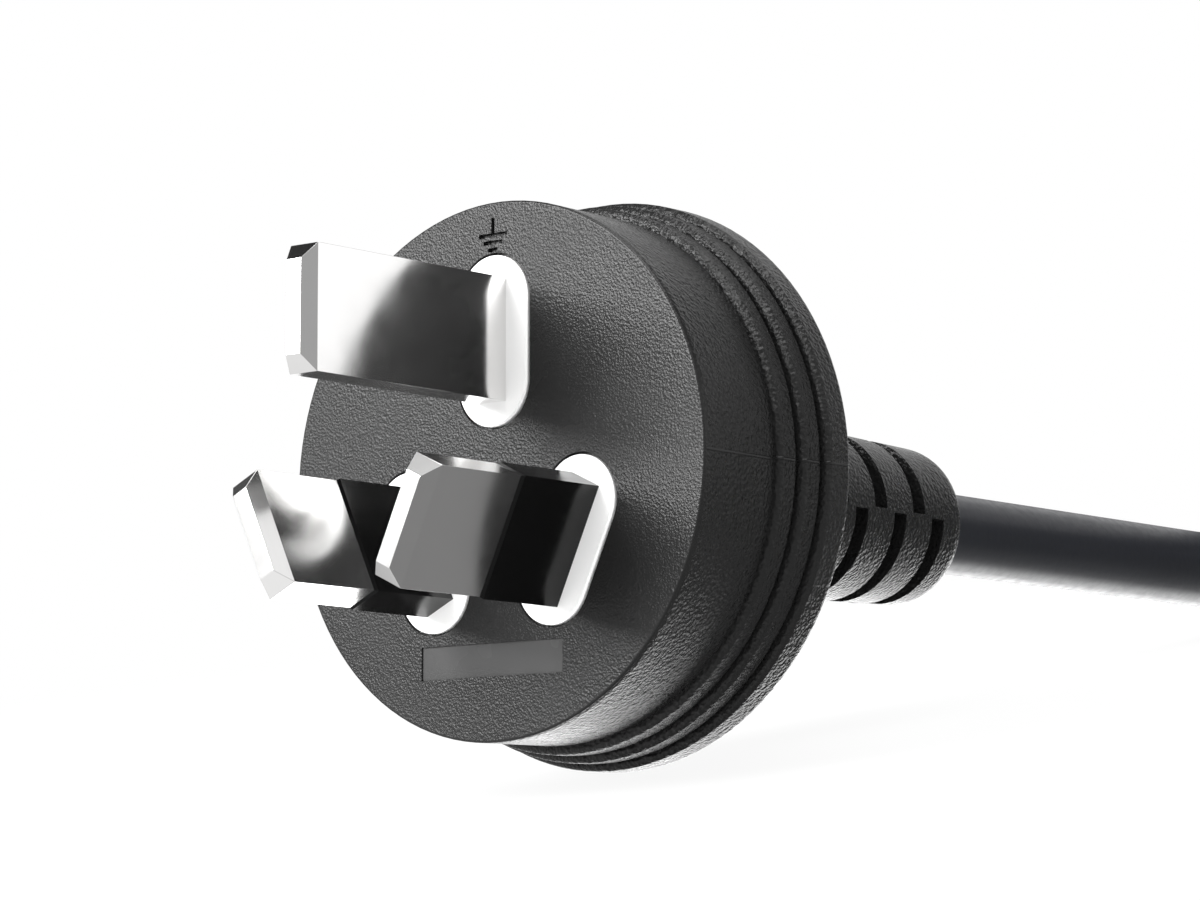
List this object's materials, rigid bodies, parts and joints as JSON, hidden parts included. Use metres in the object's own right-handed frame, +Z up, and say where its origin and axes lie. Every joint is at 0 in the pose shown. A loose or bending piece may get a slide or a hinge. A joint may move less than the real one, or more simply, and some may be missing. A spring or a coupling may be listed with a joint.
{
  "type": "type i plug",
  "caption": "Round moulded mains plug with flat slanted blades, a ridged rim and a slotted strain relief, lying on its flexible cord, which is folded in a tied hank and stripped at its end.",
  "frame": {"origin": "on the surface the plug lies on, under the middle of the plug's own box, cord left out", "axes": "+Z up, +Y from the blades towards the cord, +X to the right seen from the blades, where the neutral blade is; the plug leans back on its rear rim, so its own axis is 11 degrees from Y"},
  "size_m": [0.0744, 0.2217, 0.0422],
  "materials": {
    "black_moulding": "fine leather grain",
    "white_bridge": "smooth",
    "plated_brass": "bright nickel plate",
    "black_sleeve": "glossy",
    "cord_sheath": "satin",
    "tie_strap": "satin",
    "active_insulation": "satin",
    "neutral_insulation": "satin",
    "earth_insulation": "satin, with a yellow stripe",
    "tinned_copper": "tinned strands"
  },
  "bodies": {
    "root": {"body_moulding": "black_moulding", "pin_bridge": "white_bridge", "earth_pin": "plated_brass", "active_pin": "plated_brass", "neutral_pin": "plated_brass", "active_pin_sleeve": "black_sleeve", "neutral_pin_sleeve": "black_sleeve", "earth_core": "earth_insulation", "active_core": "active_insulation", "neutral_core": "neutral_insulation", "earth_conductor": "tinned_copper", "active_conductor": "tinned_copper", "neutral_conductor": "tinned_copper", "cord": "cord_sheath", "cord_hank": "cord_sheath", "cord_tail": "cord_sheath", "hank_tie_1": "tie_strap", "hank_tie_2": "tie_strap", "tail_active_core": "active_insulation", "tail_active_conductor": "tinned_copper", "tail_earth_core": "earth_insulation", "tail_earth_conductor": "tinned_copper", "tail_neutral_core": "neutral_insulation", "tail_neutral_conductor": "tinned_copper"}
  },
  "joints": []
}
